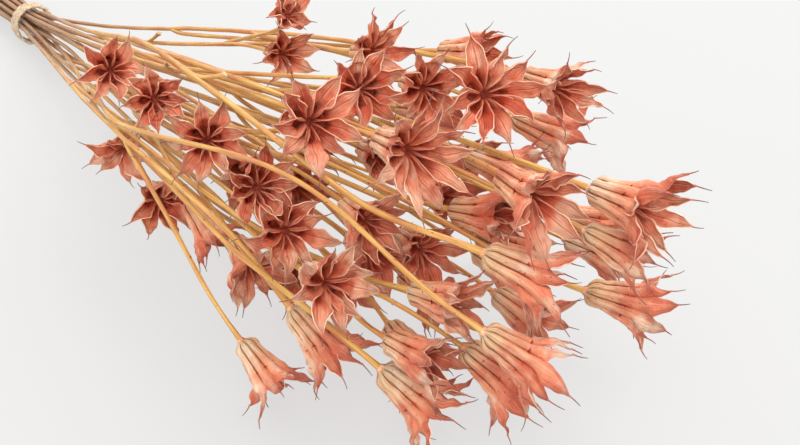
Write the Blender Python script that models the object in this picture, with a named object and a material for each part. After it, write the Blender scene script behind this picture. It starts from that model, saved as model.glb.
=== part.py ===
# A tied bunch of dried nigella seed pods, lying on its side.
# Sixteen branched stems are held by a twine tie, and 58 split pods fan out from it.
# Twelve stems meet separate pods, and the four inner ones, the sprays, are one solid with their pods.
# Axes: +X runs from the cut ends to the heads, +Z is up, and the origin is under the tie.
import math

import bmesh
import bpy
import numpy as np
from mathutils import Vector

MM = 0.001
TINY = 1e-6

# Stems
STEM_RADIUS = 1.5
BRANCH_RADIUS = 1.15
TWIG_RADIUS = 0.85
STEM_SIDES = 5
BRANCH_SIDES = 4
SPRAY_SIDES = 3
CUT_END_X = -98.0
CUT_END_STAGGER = 9.0
CUT_END_SPREAD = 1.3
RING_STEP = 3
RING_BEND = 0.05
NECK_RINGS = 3
NECK_REACH = 1.25
FORK_RADIUS = 0.75
NECK = 13.0
STEM_TO_POD_GAP = 0.35
STEM_INTO_POD = 1.6

# Tie
TIE_SLOT_PITCH = 3.45
TIE_AXIS_Z = 11.2
TIE_INNER = 9.8
TIE_TURNS = 4
TWINE_RADIUS = 0.95
TIE_PITCH = 1.9
TIE_SIDES = 18
TIE_PRESSED = 0.8

# Pods, as fractions of the length from the base to the petal tips
BASE_RADIUS = 0.055
SHOULDER = 0.11
SPLIT = 0.52
PETAL_WIDEST = 0.8
STYLE = 0.15
SHOULDER_ANGLE = 58.0
CUP_ANGLE = 9.0
CREASE = 0.76
SHOULDER_CREASE = 0.86
WALL = 0.75
FLOOR_AT = 0.26
PETAL_SHARE = 0.43
WIDEST_HALF = 0.115
FLARE_RATE = 2.2
PETAL_LEAN_STEP = 0.02
PETAL_THICKNESS = 0.85

# Start of the spacing rule: where stems leave the tie, and how steeply they reach their pods
HEADS_Z = 50.0
SLOT_PER_HEAD = 0.12
TIE_FAN = 0.008
STEEPEST = 0.7
EASE_IN = 0.6

# Spacing rule, in millimetres and in shares of a move
STATION = 12.5
CLEAR = 0.8
ROUNDS = 400
EASING_ROUNDS = 280
STIFFNESS = 0.42
LAST_STIFFNESS = 0.12
HALFWAY_SHARE = 0.6
POD_SHARE = 0.25
POD_APART = 0.6
NECK_SHARE = 0.25
OUTLINE_SHARE = 0.3
ALONG_SHARE = 0.6
PULL = 0.031
HOMING = 0.009
LONGEST_SHIFT = 1.5
LOWEST_STEM = 2.5
FLOOR = 0.1
RESTING = 1.0
OUTLINE_MARGIN = 3.5
STYLE_CLEAR = 2.0
NECK_CLEAR = 1.8

# Each stem: its pods as (x, y, z of the base, heading, lift, length, flare, follicles, fork x).
# A fork x of 0 marks the pod at the end of the main stem.
STEMS = [
    [
        (358, -58, 38, 28, -46, 29, 32, 10, 0),
        (350, -64, 30, 22, -48, 24, 26, 8, 235),
        (316, -54, 46, -10, -12, 25, 38, 9, 140),
    ],
    [
        (368, -61, 63, -8, 16, 25, 42, 9, 0),
        (340, -55, 79, -14, 20, 25, 44, 9, 190),
        (250, -52, 42, -15, 5, 24, 40, 8, 110),
        (234, -47, 56, -50, -12, 22, 40, 8, 130),
    ],
    [
        (320, -52, 75, -14, 24, 25, 44, 10, 0),
        (286, -48, 68, -28, 20, 24, 52, 9, 140),
        (292, -54, 52, 12, -42, 24, 30, 8, 170),
    ],
    [
        (344, -46, 88, -16, 24, 25, 56, 9, 0),
        (360, -38, 72, -8, 2, 25, 34, 9, 200),
        (234, -48, 62, -20, 22, 23, 50, 8, 110),
    ],
    [
        (371, -35, 93, -5, 10, 30, 42, 11, 0),
        (349, -5, 95, -16, 14, 25, 42, 10, 210),
        (367, -24, 57, -10, 6, 25, 40, 10, 150),
    ],
    [
        (369, 0, 97, -20, 28, 27, 60, 10, 0),
        (324, -17, 84, -24, 24, 24, 56, 9, 180),
        (366, 6, 74, 35, -16, 25, 36, 9, 130),
        (204, -39, 66, -14, 24, 23, 50, 8, 90),
    ],
    [
        (358, 40, 93, 5, 0, 27, 34, 10, 0),
        (352, 42, 74, 42, -22, 26, 38, 9, 190),
        (312, 38, 86, 16, 12, 25, 18, 9, 130),
    ],
    [
        (290, 18, 85, -4, 20, 24, 44, 9, 0),
        (244, 12, 70, -6, 14, 23, 38, 8, 130),
        (264, 4, 90, -20, 38, 19, 30, 7, 190),
        (302, -26, 80, -22, 14, 24, 36, 9, 110),
    ],
    [
        (426, 0, 90, 6, 2, 29, 32, 10, 0),
        (408, -18, 95, -5, 0, 27, 38, 9, 250),
        (408, 5, 71, 42, -14, 27, 38, 9, 170),
        (319, 8, 78, 5, 14, 24, 38, 8, 130),
    ],
    [
        (421, -31, 78, 45, -26, 26, 32, 9, 0),
        (430, -3, 61, 46, -16, 25, 34, 9, 220),
        (430, -14, 82, 40, -26, 23, 14, 8, 180),
        (390, 34, 48, 28, -10, 27, 38, 9, 120),
    ],
    [
        (396, -52, 36, 38, -40, 29, 34, 10, 0),
        (414, -40, 47, 44, -40, 28, 32, 9, 210),
        (427, -36, 71, 44, -34, 27, 34, 10, 150),
        (330, 44, 20, 20, -14, 26, 40, 9, 100),
    ],
    [
        (397, -40, 57, 14, 8, 25, 12, 9, 0),
        (396, -46, 45, 8, 2, 25, 14, 9, 200),
        (372, -34, 33, -4, -14, 25, 36, 9, 150),
    ],
    [
        (392, -18, 62, 40, -20, 26, 38, 9, 0),
        (386, -18, 74, 12, 14, 26, 16, 9, 190),
        (388, 2, 34, 14, -18, 27, 40, 9, 120),
        (318, -18, 22, -10, -12, 24, 36, 8, 150),
    ],
    [
        (340, -26, 46, -6, 4, 25, 38, 7, 0),
        (318, -36, 36, -16, -2, 24, 36, 7, 190),
        (300, -24, 56, -12, 8, 24, 40, 7, 160),
        (276, -34, 46, -22, 4, 23, 40, 7, 130),
    ],
    [
        (342, 6, 54, 2, 6, 25, 36, 7, 0),
        (314, -4, 62, -6, 10, 24, 38, 7, 180),
        (286, -8, 60, -10, 12, 23, 40, 7, 150),
        (350, -8, 26, 8, -10, 25, 36, 7, 210),
    ],
    [
        (352, 28, 56, 14, 2, 25, 36, 7, 0),
        (320, 28, 54, 8, 4, 24, 36, 7, 170),
        (292, 32, 64, 6, 12, 23, 40, 7, 140),
        (356, 22, 26, 16, -12, 25, 36, 7, 200),
    ],
]

# The stems from this one on grow inside the bunch, and each is one solid with its own pods.
FIRST_SPRAY = 12


def pod_axis(heading, lift):
    h = math.radians(heading)
    e = math.radians(lift)
    return np.array([math.cos(h) * math.cos(e), math.sin(h) * math.cos(e), math.sin(e)])


def midrib(t, length, flare):
    # Radius and height of the outer ridge at the fraction t of the length.
    steps = 24
    radius = BASE_RADIUS * length
    height = 0.0
    for k in range(steps):
        s = t * (k + 0.5) / steps
        if s < SHOULDER:
            lean = SHOULDER_ANGLE
        elif s < SPLIT:
            lean = CUP_ANGLE
        else:
            lean = CUP_ANGLE + (flare - CUP_ANGLE) * min(1.0, FLARE_RATE * (s - SPLIT) / (1.0 - SPLIT))
        radius += math.sin(math.radians(lean)) * length * t / steps
        height += math.cos(math.radians(lean)) * length * t / steps
    return radius, height


def pod_points(length, flare, follicles):
    # Rings of the pod in its own frame, with the axis along +Z and the base at the origin.
    half = math.pi / follicles

    def ring(t, inset, crease):
        radius, height = midrib(t, length, flare)
        row = []
        for i in range(follicles):
            mid = 2 * half * i
            row.append((radius - inset, mid, height))
            row.append((radius * crease - inset, mid + half, height))
        return row

    return ring(SHOULDER, 0.0, SHOULDER_CREASE), ring(SPLIT, 0.0, CREASE), ring(SPLIT, WALL, CREASE)


def to_xyz(radius, angle, height):
    return np.array([radius * math.cos(angle), radius * math.sin(angle), height])


def pod_mesh(length, flare, follicles, styles):
    # A closed pleated cup whose follicles part above the split, each ending in a thin style.
    # The list of styles holds the share of its full length that each style has.
    verts = []
    faces = []

    def add(point):
        verts.append(point)
        return len(verts) - 1

    rows = []
    for row in pod_points(length, flare, follicles):
        rows.append([add(to_xyz(*point)) for point in row])
    shoulder_row, out_row, in_row = rows
    count = 2 * follicles
    floor_height = midrib(FLOOR_AT, length, flare)[1]
    floor_point = add(np.array([0.0, 0.0, floor_height]))
    base_point = add(np.array([0.0, 0.0, 0.0]))
    for i in range(count):
        j = (i + 1) % count
        faces.append((base_point, shoulder_row[j], shoulder_row[i]))
        faces.append((shoulder_row[i], shoulder_row[j], out_row[j]))
        faces.append((shoulder_row[i], out_row[j], out_row[i]))
        faces.append((floor_point, in_row[i], in_row[j]))
    half = math.pi / follicles
    for i in range(follicles):
        mid = 2 * half * i
        tip_radius, tip_height = midrib(PETAL_WIDEST, length, flare)
        next_radius, next_height = midrib(PETAL_WIDEST + PETAL_LEAN_STEP, length, flare)
        along = np.array([next_radius - tip_radius, next_height - tip_height])
        along = along / np.linalg.norm(along)
        end_radius, end_height = midrib(1.0, length, flare)
        style_radius = end_radius + along[0] * STYLE * length * styles[i]
        style_height = end_height + along[1] * STYLE * length * styles[i]
        keel = add(to_xyz(tip_radius, mid, tip_height))
        edge_radius = tip_radius - along[1] * PETAL_THICKNESS
        edge_height = tip_height + along[0] * PETAL_THICKNESS
        half_width = min(PETAL_SHARE * 2 * half * tip_radius, WIDEST_HALF * length)
        side = np.array([-math.sin(mid), math.cos(mid), 0.0]) * half_width
        left = add(to_xyz(edge_radius, mid, edge_height) - side)
        right = add(to_xyz(edge_radius, mid, edge_height) + side)
        style = add(to_xyz(style_radius, mid, style_height))
        ridge = 2 * i
        after = 2 * i + 1
        before = (2 * i - 1) % count
        faces.append((out_row[before], out_row[ridge], left))
        faces.append((out_row[ridge], keel, left))
        faces.append((out_row[ridge], out_row[after], right))
        faces.append((out_row[ridge], right, keel))
        faces.append((out_row[after], in_row[after], right))
        faces.append((in_row[after], in_row[ridge], right))
        faces.append((in_row[ridge], left, right))
        faces.append((in_row[ridge], in_row[before], left))
        faces.append((in_row[before], out_row[before], left))
        faces.append((left, keel, style))
        faces.append((keel, right, style))
        faces.append((right, left, style))
    return np.array(verts), faces


def pod_turn(axis):
    # The three axes of a pod's own frame, as the columns of a rotation.
    side = np.cross(axis, np.array([0.0, 0.0, 1.0]))
    side = side / np.linalg.norm(side)
    return np.stack([side, np.cross(axis, side), axis], axis=1)


def pod_spheres(length, flare, follicles):
    # A cloud of spheres that covers a pod: its cup, each petal and each style.
    cloud = []
    for t in (0.1, 0.28, 0.45):
        radius, height = midrib(t, length, flare)
        cloud.append((0.0, 0.0, height, radius + 0.2))
    end_radius, end_height = midrib(1.0, length, flare)
    before_radius, before_height = midrib(0.98, length, flare)
    lean = math.atan2(end_radius - before_radius, end_height - before_height)
    for i in range(follicles):
        angle = 2 * math.pi * i / follicles
        for t, size in ((0.55, 0.08), (0.66, 0.08), (0.78, 0.08), (0.9, 0.05), (1.0, 0.03)):
            radius, height = midrib(t, length, flare)
            inward = radius - 0.4
            cloud.append((inward * math.cos(angle), inward * math.sin(angle), height, size * length))
        for reach in (0.4, 1.0):
            radius = end_radius + math.sin(lean) * STYLE * length * reach
            height = end_height + math.cos(lean) * STYLE * length * reach
            cloud.append((radius * math.cos(angle), radius * math.sin(angle), height, 0.5))
    return np.array(cloud)


def pod_outline(length, flare):
    # Radius and height of the solid shape that a pod fills when it is turned on its axis.
    rows = [(BASE_RADIUS * length, -1.0)]
    for k in range(13):
        rows.append(midrib(k / 12, length, flare))
    radius, height = rows[-1]
    slope = np.array(rows[-1]) - np.array(rows[-2])
    slope = slope / np.linalg.norm(slope)
    rows.append((radius + slope[0] * STYLE * length, height + slope[1] * STYLE * length))
    rows.append((rows[-1][0], rows[-1][1] + OUTLINE_MARGIN))
    return np.array(rows)


class Pod:
    def __init__(self, row, fused):
        x, y, z, heading, lift, self.length, self.flare, self.follicles, self.fork = row
        self.gap = -STEM_INTO_POD if fused else STEM_TO_POD_GAP
        self.target = np.array([x, y, z], float)
        self.base = self.target.copy()
        self.axis = pod_axis(heading, lift)
        self.turn = pod_turn(self.axis)
        cloud = pod_spheres(self.length, self.flare, self.follicles)
        self.offsets = cloud[:, :3] @ self.turn.T
        self.sizes = cloud[:, 3]
        self.middle = self.offsets.mean(axis=0)
        self.girth = float(np.max(np.linalg.norm(self.offsets - self.middle, axis=1) + self.sizes))
        self.outline = pod_outline(self.length, self.flare)
        self.reach = float(np.max(np.linalg.norm(self.offsets, axis=1) + self.sizes))
        self.grow([1.0] * self.follicles)

    def grow(self, styles):
        self.styles = styles
        verts, self.faces = pod_mesh(self.length, self.flare, self.follicles, styles)
        self.shape = verts @ self.turn.T
        self.drop = -float(self.shape[:, 2].min())

    def style_line(self, number):
        # Points from a petal's tip to the end of its full style.
        tip_radius, tip_height = midrib(0.92, self.length, self.flare)
        radius, height = self.outline[-2]
        angle = 2 * math.pi * number / self.follicles
        tip = to_xyz(tip_radius, angle, tip_height) @ self.turn.T + self.base
        end = to_xyz(radius, angle, height) @ self.turn.T + self.base
        return tip, end

    def shift(self, move, ease):
        size = np.linalg.norm(move)
        if size > LONGEST_SHIFT:
            move = move * LONGEST_SHIFT / size
        self.base = self.base + move * np.array([ALONG_SHARE, 1.0, 1.0])
        self.base = self.base + (self.target - self.base) * PULL * ease
        self.base[2] = max(self.base[2], self.drop + FLOOR)

    def neck(self):
        return self.base - self.axis * NECK


class Strand:
    def __init__(self, stem, pod, first, parent):
        self.stem = stem
        self.pod = pod
        self.first = first
        self.parent = parent
        self.last = max(first + 1, int((pod.neck()[0] - 7.0) // STATION))


def tie_slots():
    # One centre and three sixes round it, packed like a honeycomb, as (y, z) from the tie's axis.
    slots = [(0.0, 0.0)]
    for ring, distance, turn in ((6, 1.0, 0.0), (6, math.sqrt(3), math.pi / 6), (6, 2.0, 0.0)):
        for k in range(ring):
            angle = turn + 2 * math.pi * k / ring
            reach = TIE_SLOT_PITCH * distance
            slots.append((reach * math.cos(angle), reach * math.sin(angle)))
    return np.array(slots)


def choose_slots(stems):
    # Each stem takes the free slot that lies nearest to the side its pods fan out to.
    slots = tie_slots()
    free = list(range(len(slots)))
    order = []
    for index, pods in enumerate(stems):
        mean = np.mean([pod.target for pod in pods], axis=0)
        order.append((-math.hypot(mean[1], mean[2] - HEADS_Z), index, mean))
    chosen = {}
    for _, index, mean in sorted(order, key=lambda item: (item[0], item[1])):
        wish = np.array([mean[1], mean[2] - HEADS_Z]) * SLOT_PER_HEAD
        best = min(free, key=lambda k: float(np.linalg.norm(slots[k] - wish)))
        free.remove(best)
        chosen[index] = slots[best] + np.array([0.0, TIE_AXIS_Z])
    return chosen


def strand_radius(strand, x):
    start = strand.first * STATION
    u = min(1.0, max(0.0, (x - start) / (strand.pod.target[0] - start)))
    if strand.parent is None:
        return STEM_RADIUS + (BRANCH_RADIUS - STEM_RADIUS) * min(1.0, 2.5 * u)
    return BRANCH_RADIUS + (TWIG_RADIUS - BRANCH_RADIUS) * u


def make_strands(stems):
    # The first pod of a stem ends its main strand, and each other pod ends a side branch.
    strands = []
    for index, group in enumerate(stems):
        main = Strand(index, group[0], 0, None)
        strands.append(main)
        for pod in group[1:]:
            first = min(int(round(pod.fork / STATION)), main.last - 2)
            strands.append(Strand(index, pod, first, main))
    for number, strand in enumerate(strands):
        strand.number = number
    return strands


def first_places(strands, slots, slices):
    # Each strand starts on a smooth curve from the tie, or from its fork, to its pod's neck.
    place = np.zeros((len(strands), slices, 2))
    used = np.zeros((len(strands), slices), bool)
    for strand in strands:
        s = strand.number
        x0 = strand.first * STATION
        if strand.parent is None:
            start = slots[strand.stem]
            leave = (start - np.array([0.0, TIE_AXIS_Z])) * TIE_FAN
        else:
            parent = place[strand.parent.number]
            start = parent[strand.first]
            leave = (parent[strand.first + 1] - start) / STATION
        neck = strand.pod.neck()
        span = neck[0] - x0
        arrive = strand.pod.axis[1:] / max(0.35, strand.pod.axis[0])
        arrive = np.clip(arrive, -STEEPEST, STEEPEST) * EASE_IN
        for k in range(strand.first, strand.last + 1):
            u = (k * STATION - x0) / span
            place[s, k] = (
                (2 * u**3 - 3 * u**2 + 1) * start
                + (u**3 - 2 * u**2 + u) * span * leave
                + (3 * u**2 - 2 * u**3) * neck[1:]
                + (u**3 - u**2) * span * arrive
            )
            place[s, k, 1] = max(place[s, k, 1], LOWEST_STEM)
            used[s, k] = True
    return place, used


def needed_gaps(strands, radius, used):
    # The least distance for each pair of strands in each slice, or 0 where they may meet.
    need = radius[:, None, :] + radius[None, :, :] + CLEAR
    need = np.where(used[:, None, :] & used[None, :, :], need, 0.0)
    for one in strands:
        for two in strands:
            if one.stem == two.stem:
                fork = max(one.first, two.first)
                need[one.number, two.number, : fork + 2] = 0.0
        need[one.number, one.number, :] = 0.0
    need[:, :, 0] = 0.0
    return need


def straighten(strands, place, home, ease):
    for strand in strands:
        s = strand.number
        a = strand.first
        b = strand.last
        if strand.parent is not None:
            place[s, a] = place[strand.parent.number, a]
        row = np.vstack([place[s, a : b + 1], strand.pod.neck()[1:]])
        middle = (row[:-2] + row[2:]) / 2
        stiffness = STIFFNESS * (LAST_STIFFNESS + (1.0 - LAST_STIFFNESS) * ease)
        place[s, a + 1 : b + 1] += stiffness * (middle - row[1:-1])
        place[s, a + 1 : b + 1] += HOMING * ease * (home[s, a + 1 : b + 1] - place[s, a + 1 : b + 1])


def slice_push(place, need):
    apart = place[:, None, :, :] - place[None, :, :, :]
    gap = np.sqrt((apart**2).sum(axis=3)) + TINY
    short = np.maximum(need - gap, 0.0)
    return (apart * (short / gap)[..., None]).sum(axis=1) * 0.5


def part_strands(place, need):
    # Strands keep apart at each station and halfway to the next one, where two might change places.
    push = slice_push(place, need)
    halfway = np.where((need[:, :, 1:] > 0) & (need[:, :, :-1] > 0), need[:, :, 1:], 0.0)
    between = slice_push((place[:, 1:] + place[:, :-1]) / 2, halfway)
    push[:, 1:] += between * HALFWAY_SHARE
    push[:, :-1] += between * HALFWAY_SHARE
    push[:, 0] = 0.0
    return push


def near_pairs(pods):
    pairs = []
    for i, one in enumerate(pods):
        for j in range(i + 1, len(pods)):
            two = pods[j]
            apart = np.linalg.norm(one.base + one.middle - two.base - two.middle)
            if apart < one.girth + two.girth + 2.0:
                pairs.append((i, j))
    return pairs


def part_pods(pods, pairs, moves):
    # Pods keep apart as clouds of spheres, so that petals may reach into the gaps of a neighbour.
    centres = [pod.base + pod.offsets for pod in pods]
    for i, j in pairs:
        one = pods[i]
        two = pods[j]
        delta = centres[i][:, None, :] - centres[j][None, :, :]
        dist = np.sqrt((delta**2).sum(axis=2))
        deep = one.sizes[:, None] + two.sizes[None, :] + CLEAR - dist
        worst = float(deep.max())
        if worst <= 0.0:
            continue
        deep = np.maximum(deep, 0.0)
        way = np.einsum("ijk,ij->k", delta, deep)
        middle = centres[i].mean(axis=0) - centres[j].mean(axis=0)
        way = way / (np.linalg.norm(way) + TINY) + POD_APART * middle / np.linalg.norm(middle)
        way = way / (np.linalg.norm(way) + TINY)
        moves[i] += way * worst * POD_SHARE
        moves[j] -= way * worst * POD_SHARE


def neck_curve(strand, before, start, rings):
    # A smooth bend from a strand's last station into the axis of its pod.
    end = strand.pod.base - strand.pod.axis * strand.pod.gap
    span = np.linalg.norm(end - start)
    leave = (start - before) / np.linalg.norm(start - before) * span
    arrive = strand.pod.axis * span * NECK_REACH
    curve = []
    for step in range(1, rings + 1):
        u = step / rings
        curve.append(
            (2 * u**3 - 3 * u**2 + 1) * start
            + (u**3 - 2 * u**2 + u) * leave
            + (3 * u**2 - 2 * u**3) * end
            + (u**3 - u**2) * arrive
        )
    return curve


def strand_samples(strands, place):
    # Points along every strand, with the strand, the station before each and how far it is past it.
    # Points on a neck move with the pod, and their station is -1.
    points = []
    owners = []
    stations = []
    shares = []
    for strand in strands:
        s = strand.number
        ks = np.arange(strand.first, strand.last + 1)
        row = np.column_stack([ks * STATION, place[s, strand.first : strand.last + 1]])
        neck = neck_curve(strand, row[-2], row[-1], 5)[:-1]
        points.append(np.vstack([row, (row[:-1] + row[1:]) / 2, neck]))
        stations.append(np.concatenate([ks, ks[:-1], [ks[-1], -1, -1, -1]]))
        shares.append(np.concatenate([np.zeros(len(ks)), np.full(len(ks) - 1, 0.5), np.zeros(4)]))
        owners.append(np.full(2 * len(ks) + 3, s))
    return np.vstack(points), np.concatenate(owners), np.concatenate(stations), np.concatenate(shares)


def spread_push(push, used):
    # A strand that is pushed at one station bends over the stations to each side of it too.
    spread = push.copy()
    for steps, share in ((1, 0.75), (2, 0.4), (3, 0.15)):
        spread[:, steps:] += share * push[:, :-steps]
        spread[:, :-steps] += share * push[:, steps:]
    spread[:, 0] = 0.0
    return np.where(used[:, :, None], spread, 0.0)


def move_samples(bend, moves, firsts, samples, picked, push):
    # Carry the push on sampled points over to the stations beside them, or to the pod of a neck.
    _, owners, stations, shares = samples
    s = owners[picked]
    k = stations[picked]
    share = shares[picked][:, None]
    on_neck = k < 0
    np.add.at(moves, s[on_neck], push[on_neck] * 0.5)
    free = ~on_neck & (k > firsts[s])
    np.add.at(bend, (s[free], k[free]), push[free][:, 1:] * (1.0 - share[free]))
    half = ~on_neck & (share[:, 0] > 0)
    np.add.at(bend, (s[half], k[half] + 1), push[half][:, 1:] * share[half])


def part_strands_from_pods(bend, pods, moves, samples, firsts):
    # A strand that would pass through a pod's outline moves straight out from the pod's axis.
    points, owners = samples[:2]
    for i, pod in enumerate(pods):
        near = (np.linalg.norm(points - pod.base, axis=1) < pod.reach + 3.0) & (owners != i)
        picked = np.nonzero(near)[0]
        if len(picked) == 0:
            continue
        delta = points[picked] - pod.base
        height = delta @ pod.axis
        outward = delta - height[:, None] * pod.axis
        distance = np.linalg.norm(outward, axis=1) + TINY
        outline = np.interp(height, pod.outline[:, 1], pod.outline[:, 0], left=-9.0, right=-9.0)
        depth = outline + BRANCH_RADIUS + CLEAR - distance
        hit = depth > 0
        if not hit.any():
            continue
        push = outward[hit] * (depth[hit] / distance[hit])[:, None]
        moves[i] -= push.mean(axis=0) * OUTLINE_SHARE
        move_samples(bend, moves, firsts, samples, picked[hit], push * OUTLINE_SHARE)


def part_necks(bend, moves, samples, firsts):
    # Necks cross the slices at a slant, so they are kept apart from the strands as points.
    points, owners, stations, _ = samples
    necks = np.nonzero(stations < 0)[0]
    delta = points[:, None, :] - points[necks][None, :, :]
    dist = np.sqrt((delta**2).sum(axis=2)) + TINY
    other = owners[:, None] != owners[necks][None, :]
    depth = np.where(other, 2 * BRANCH_RADIUS + NECK_CLEAR - dist, 0.0)
    rows, cols = np.nonzero(depth > 0)
    push = delta[rows, cols] * (depth[rows, cols] / dist[rows, cols])[:, None]
    move_samples(bend, moves, firsts, samples, rows, push * NECK_SHARE)
    np.add.at(moves, owners[necks][cols], -push * NECK_SHARE)


def fine_line(points):
    # The same line with a point about every millimetre.
    rows = []
    for one, two in zip(points[:-1], points[1:]):
        steps = max(1, int(np.linalg.norm(two - one)))
        for k in range(steps):
            rows.append(one + (two - one) * k / steps)
    rows.append(points[-1])
    return np.array(rows)


def break_styles(pods, strands, place, slots):
    # A style that would touch a stem is broken off short of it.
    lines = [fine_line(strand_line(strand, place, slots)[0]) for strand in strands]
    for i, pod in enumerate(pods):
        others = np.vstack([line for j, line in enumerate(lines) if j != i])
        others = others[np.linalg.norm(others - pod.base, axis=1) < pod.reach + 4.0]
        if len(others) == 0:
            continue
        styles = []
        for number in range(pod.follicles):
            tip, end = pod.style_line(number)
            share = 1.0
            for step in range(7):
                point = tip + (end - tip) * step / 6
                if np.linalg.norm(others - point, axis=1).min() < STYLE_CLEAR:
                    share = max(0.05, (step - 3) / 6)
                    break
            styles.append(share)
        pod.grow(styles)


def lay_out():
    # Spacing rule: pods keep near their places and strands run smoothly, all clear of each other.
    stems = [[Pod(row, index >= FIRST_SPRAY) for row in rows] for index, rows in enumerate(STEMS)]
    pods = [pod for group in stems for pod in group]
    slots = choose_slots(stems)
    strands = make_strands(stems)
    slices = 2 + max(strand.last for strand in strands)
    place, used = first_places(strands, slots, slices)
    home = place.copy()
    radius = np.zeros((len(strands), slices))
    for strand in strands:
        for k in range(strand.first, strand.last + 1):
            radius[strand.number, k] = strand_radius(strand, k * STATION)
    need = needed_gaps(strands, radius, used)
    firsts = np.array([strand.first for strand in strands])
    for turn in range(ROUNDS):
        ease = max(0.0, 1.0 - turn / EASING_ROUNDS)
        straighten(strands, place, home, ease)
        push = part_strands(place, need)
        moves = np.zeros((len(pods), 3))
        if turn % 10 == 0:
            pairs = near_pairs(pods)
        part_pods(pods, pairs, moves)
        samples = strand_samples(strands, place)
        bend = np.zeros_like(push)
        part_strands_from_pods(bend, pods, moves, samples, firsts)
        part_necks(bend, moves, samples, firsts)
        place += push + spread_push(bend, used)
        for pod, move in zip(pods, moves):
            pod.shift(move, ease)
        place[:, :, 1] = np.where(used, np.maximum(place[:, :, 1], radius + FLOOR), 0.0)
    break_styles(pods, strands, place, slots)
    for pod in pods:
        if pod.base[2] - pod.drop < RESTING:
            pod.base[2] = pod.drop
    return strands, pods, slots, place


def strand_line(strand, place, slots):
    # The points that a strand's tube runs through, and the radius at each.
    pod = strand.pod
    points = []
    radii = []
    if strand.parent is None:
        slot = slots[strand.stem]
        spread = (slot - np.array([0.0, TIE_AXIS_Z])) * CUT_END_SPREAD
        stagger = CUT_END_STAGGER * math.cos(2.4 * strand.stem)
        points.append((CUT_END_X + stagger, spread[0], spread[1] + TIE_AXIS_Z))
        radii.append(STEM_RADIUS)
    row = place[strand.number]
    for k in range(strand.first, strand.last + 1):
        inner = strand.first < k < strand.last
        if inner and (k - strand.first) % RING_STEP:
            bend = np.linalg.norm(row[k - 1] + row[k + 1] - 2 * row[k]) / STATION
            if bend < RING_BEND:
                continue
        points.append((k * STATION, row[k, 0], row[k, 1]))
        radii.append(strand_radius(strand, k * STATION))
    points += neck_curve(strand, np.array(points[-2]), np.array(points[-1]), NECK_RINGS)
    radii += [radii[-1]] * (len(points) - len(radii))
    if strand.parent is not None:
        radii[0] = FORK_RADIUS
    return np.array(points), radii


def tube(points, radii, sides):
    # A closed tube of flat-sided rings, square to the line that runs through them.
    ways = np.gradient(points, axis=0)
    ways = ways / np.linalg.norm(ways, axis=1)[:, None]
    across = np.cross(ways[0], np.array([0.0, 0.0, 1.0]))
    verts = []
    for point, way, radius in zip(points, ways, radii):
        across = across - way * float(across @ way)
        across = across / np.linalg.norm(across)
        up = np.cross(way, across)
        for k in range(sides):
            angle = 2 * math.pi * k / sides
            verts.append(point + (across * math.cos(angle) + up * math.sin(angle)) * radius)
    faces = []
    for ring in range(len(points) - 1):
        for k in range(sides):
            a = ring * sides + k
            b = ring * sides + (k + 1) % sides
            faces.append((a, b, b + sides))
            faces.append((a, b + sides, a + sides))
    last = (len(points) - 1) * sides
    faces.append(tuple(reversed(range(sides))))
    faces.append(tuple(last + k for k in range(sides)))
    return np.array(verts), faces


def tie_shape():
    # A ring of twine turns round the stems, pressed flat underneath where the bunch rests.
    half = TIE_TURNS * TIE_PITCH / 2
    profile = [(-half, TIE_INNER), (half, TIE_INNER)]
    for turn in reversed(range(TIE_TURNS)):
        x = -half + (turn + 0.5) * TIE_PITCH
        if turn < TIE_TURNS - 1:
            profile.append((x + TIE_PITCH / 2, TIE_INNER + TWINE_RADIUS))
        profile.append((x + TIE_PITCH * 0.22, TIE_INNER + 2 * TWINE_RADIUS))
        profile.append((x - TIE_PITCH * 0.22, TIE_INNER + 2 * TWINE_RADIUS))
    rows = len(profile)
    verts = []
    faces = []
    for s in range(TIE_SIDES):
        angle = 2 * math.pi * (s + 0.5) / TIE_SIDES
        for x, radius in profile:
            z = TIE_AXIS_Z + radius * math.sin(angle)
            outer = radius > TIE_INNER
            if outer and z < TIE_PRESSED:
                z = 0.0
            verts.append((x, radius * math.cos(angle), z))
    for s in range(TIE_SIDES):
        for k in range(rows):
            a = s * rows + k
            b = s * rows + (k + 1) % rows
            c = ((s + 1) % TIE_SIDES) * rows + (k + 1) % rows
            d = ((s + 1) % TIE_SIDES) * rows + k
            faces.append((a, b, c))
            faces.append((a, c, d))
    return np.array(verts, float), faces


def material(name, colour, roughness):
    mat = bpy.data.materials.new(name)
    mat.use_nodes = True
    shader = mat.node_tree.nodes["Principled BSDF"]
    shader.inputs["Base Color"].default_value = (*colour, 1.0)
    shader.inputs["Roughness"].default_value = roughness
    shader.inputs["Metallic"].default_value = 0.0
    return mat


def add_object(name, verts, faces, mat):
    mesh = bpy.data.meshes.new(name)
    mesh.from_pydata([Vector(vert) * MM for vert in verts], [], faces)
    work = bmesh.new()
    work.from_mesh(mesh)
    bmesh.ops.recalc_face_normals(work, faces=work.faces)
    work.to_mesh(mesh)
    work.free()
    mesh.materials.append(mat)
    obj = bpy.data.objects.new(name, mesh)
    bpy.context.scene.collection.objects.link(obj)
    return obj


def join_solids(obj, others):
    # One Boolean union makes the object and the others a single closed body.
    group = bpy.data.collections.new(obj.name + "_parts")
    bpy.context.scene.collection.children.link(group)
    for other in others:
        bpy.context.scene.collection.objects.unlink(other)
        group.objects.link(other)
    union = obj.modifiers.new("union", "BOOLEAN")
    union.operation = "UNION"
    union.operand_type = "COLLECTION"
    union.collection = group
    union.solver = "EXACT"
    bpy.context.view_layer.update()
    graph = bpy.context.evaluated_depsgraph_get()
    joined = bpy.data.meshes.new_from_object(obj.evaluated_get(graph))
    obj.modifiers.clear()
    obj.data = joined
    for other in others:
        bpy.data.objects.remove(other, do_unlink=True)
    bpy.data.collections.remove(group)


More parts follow.
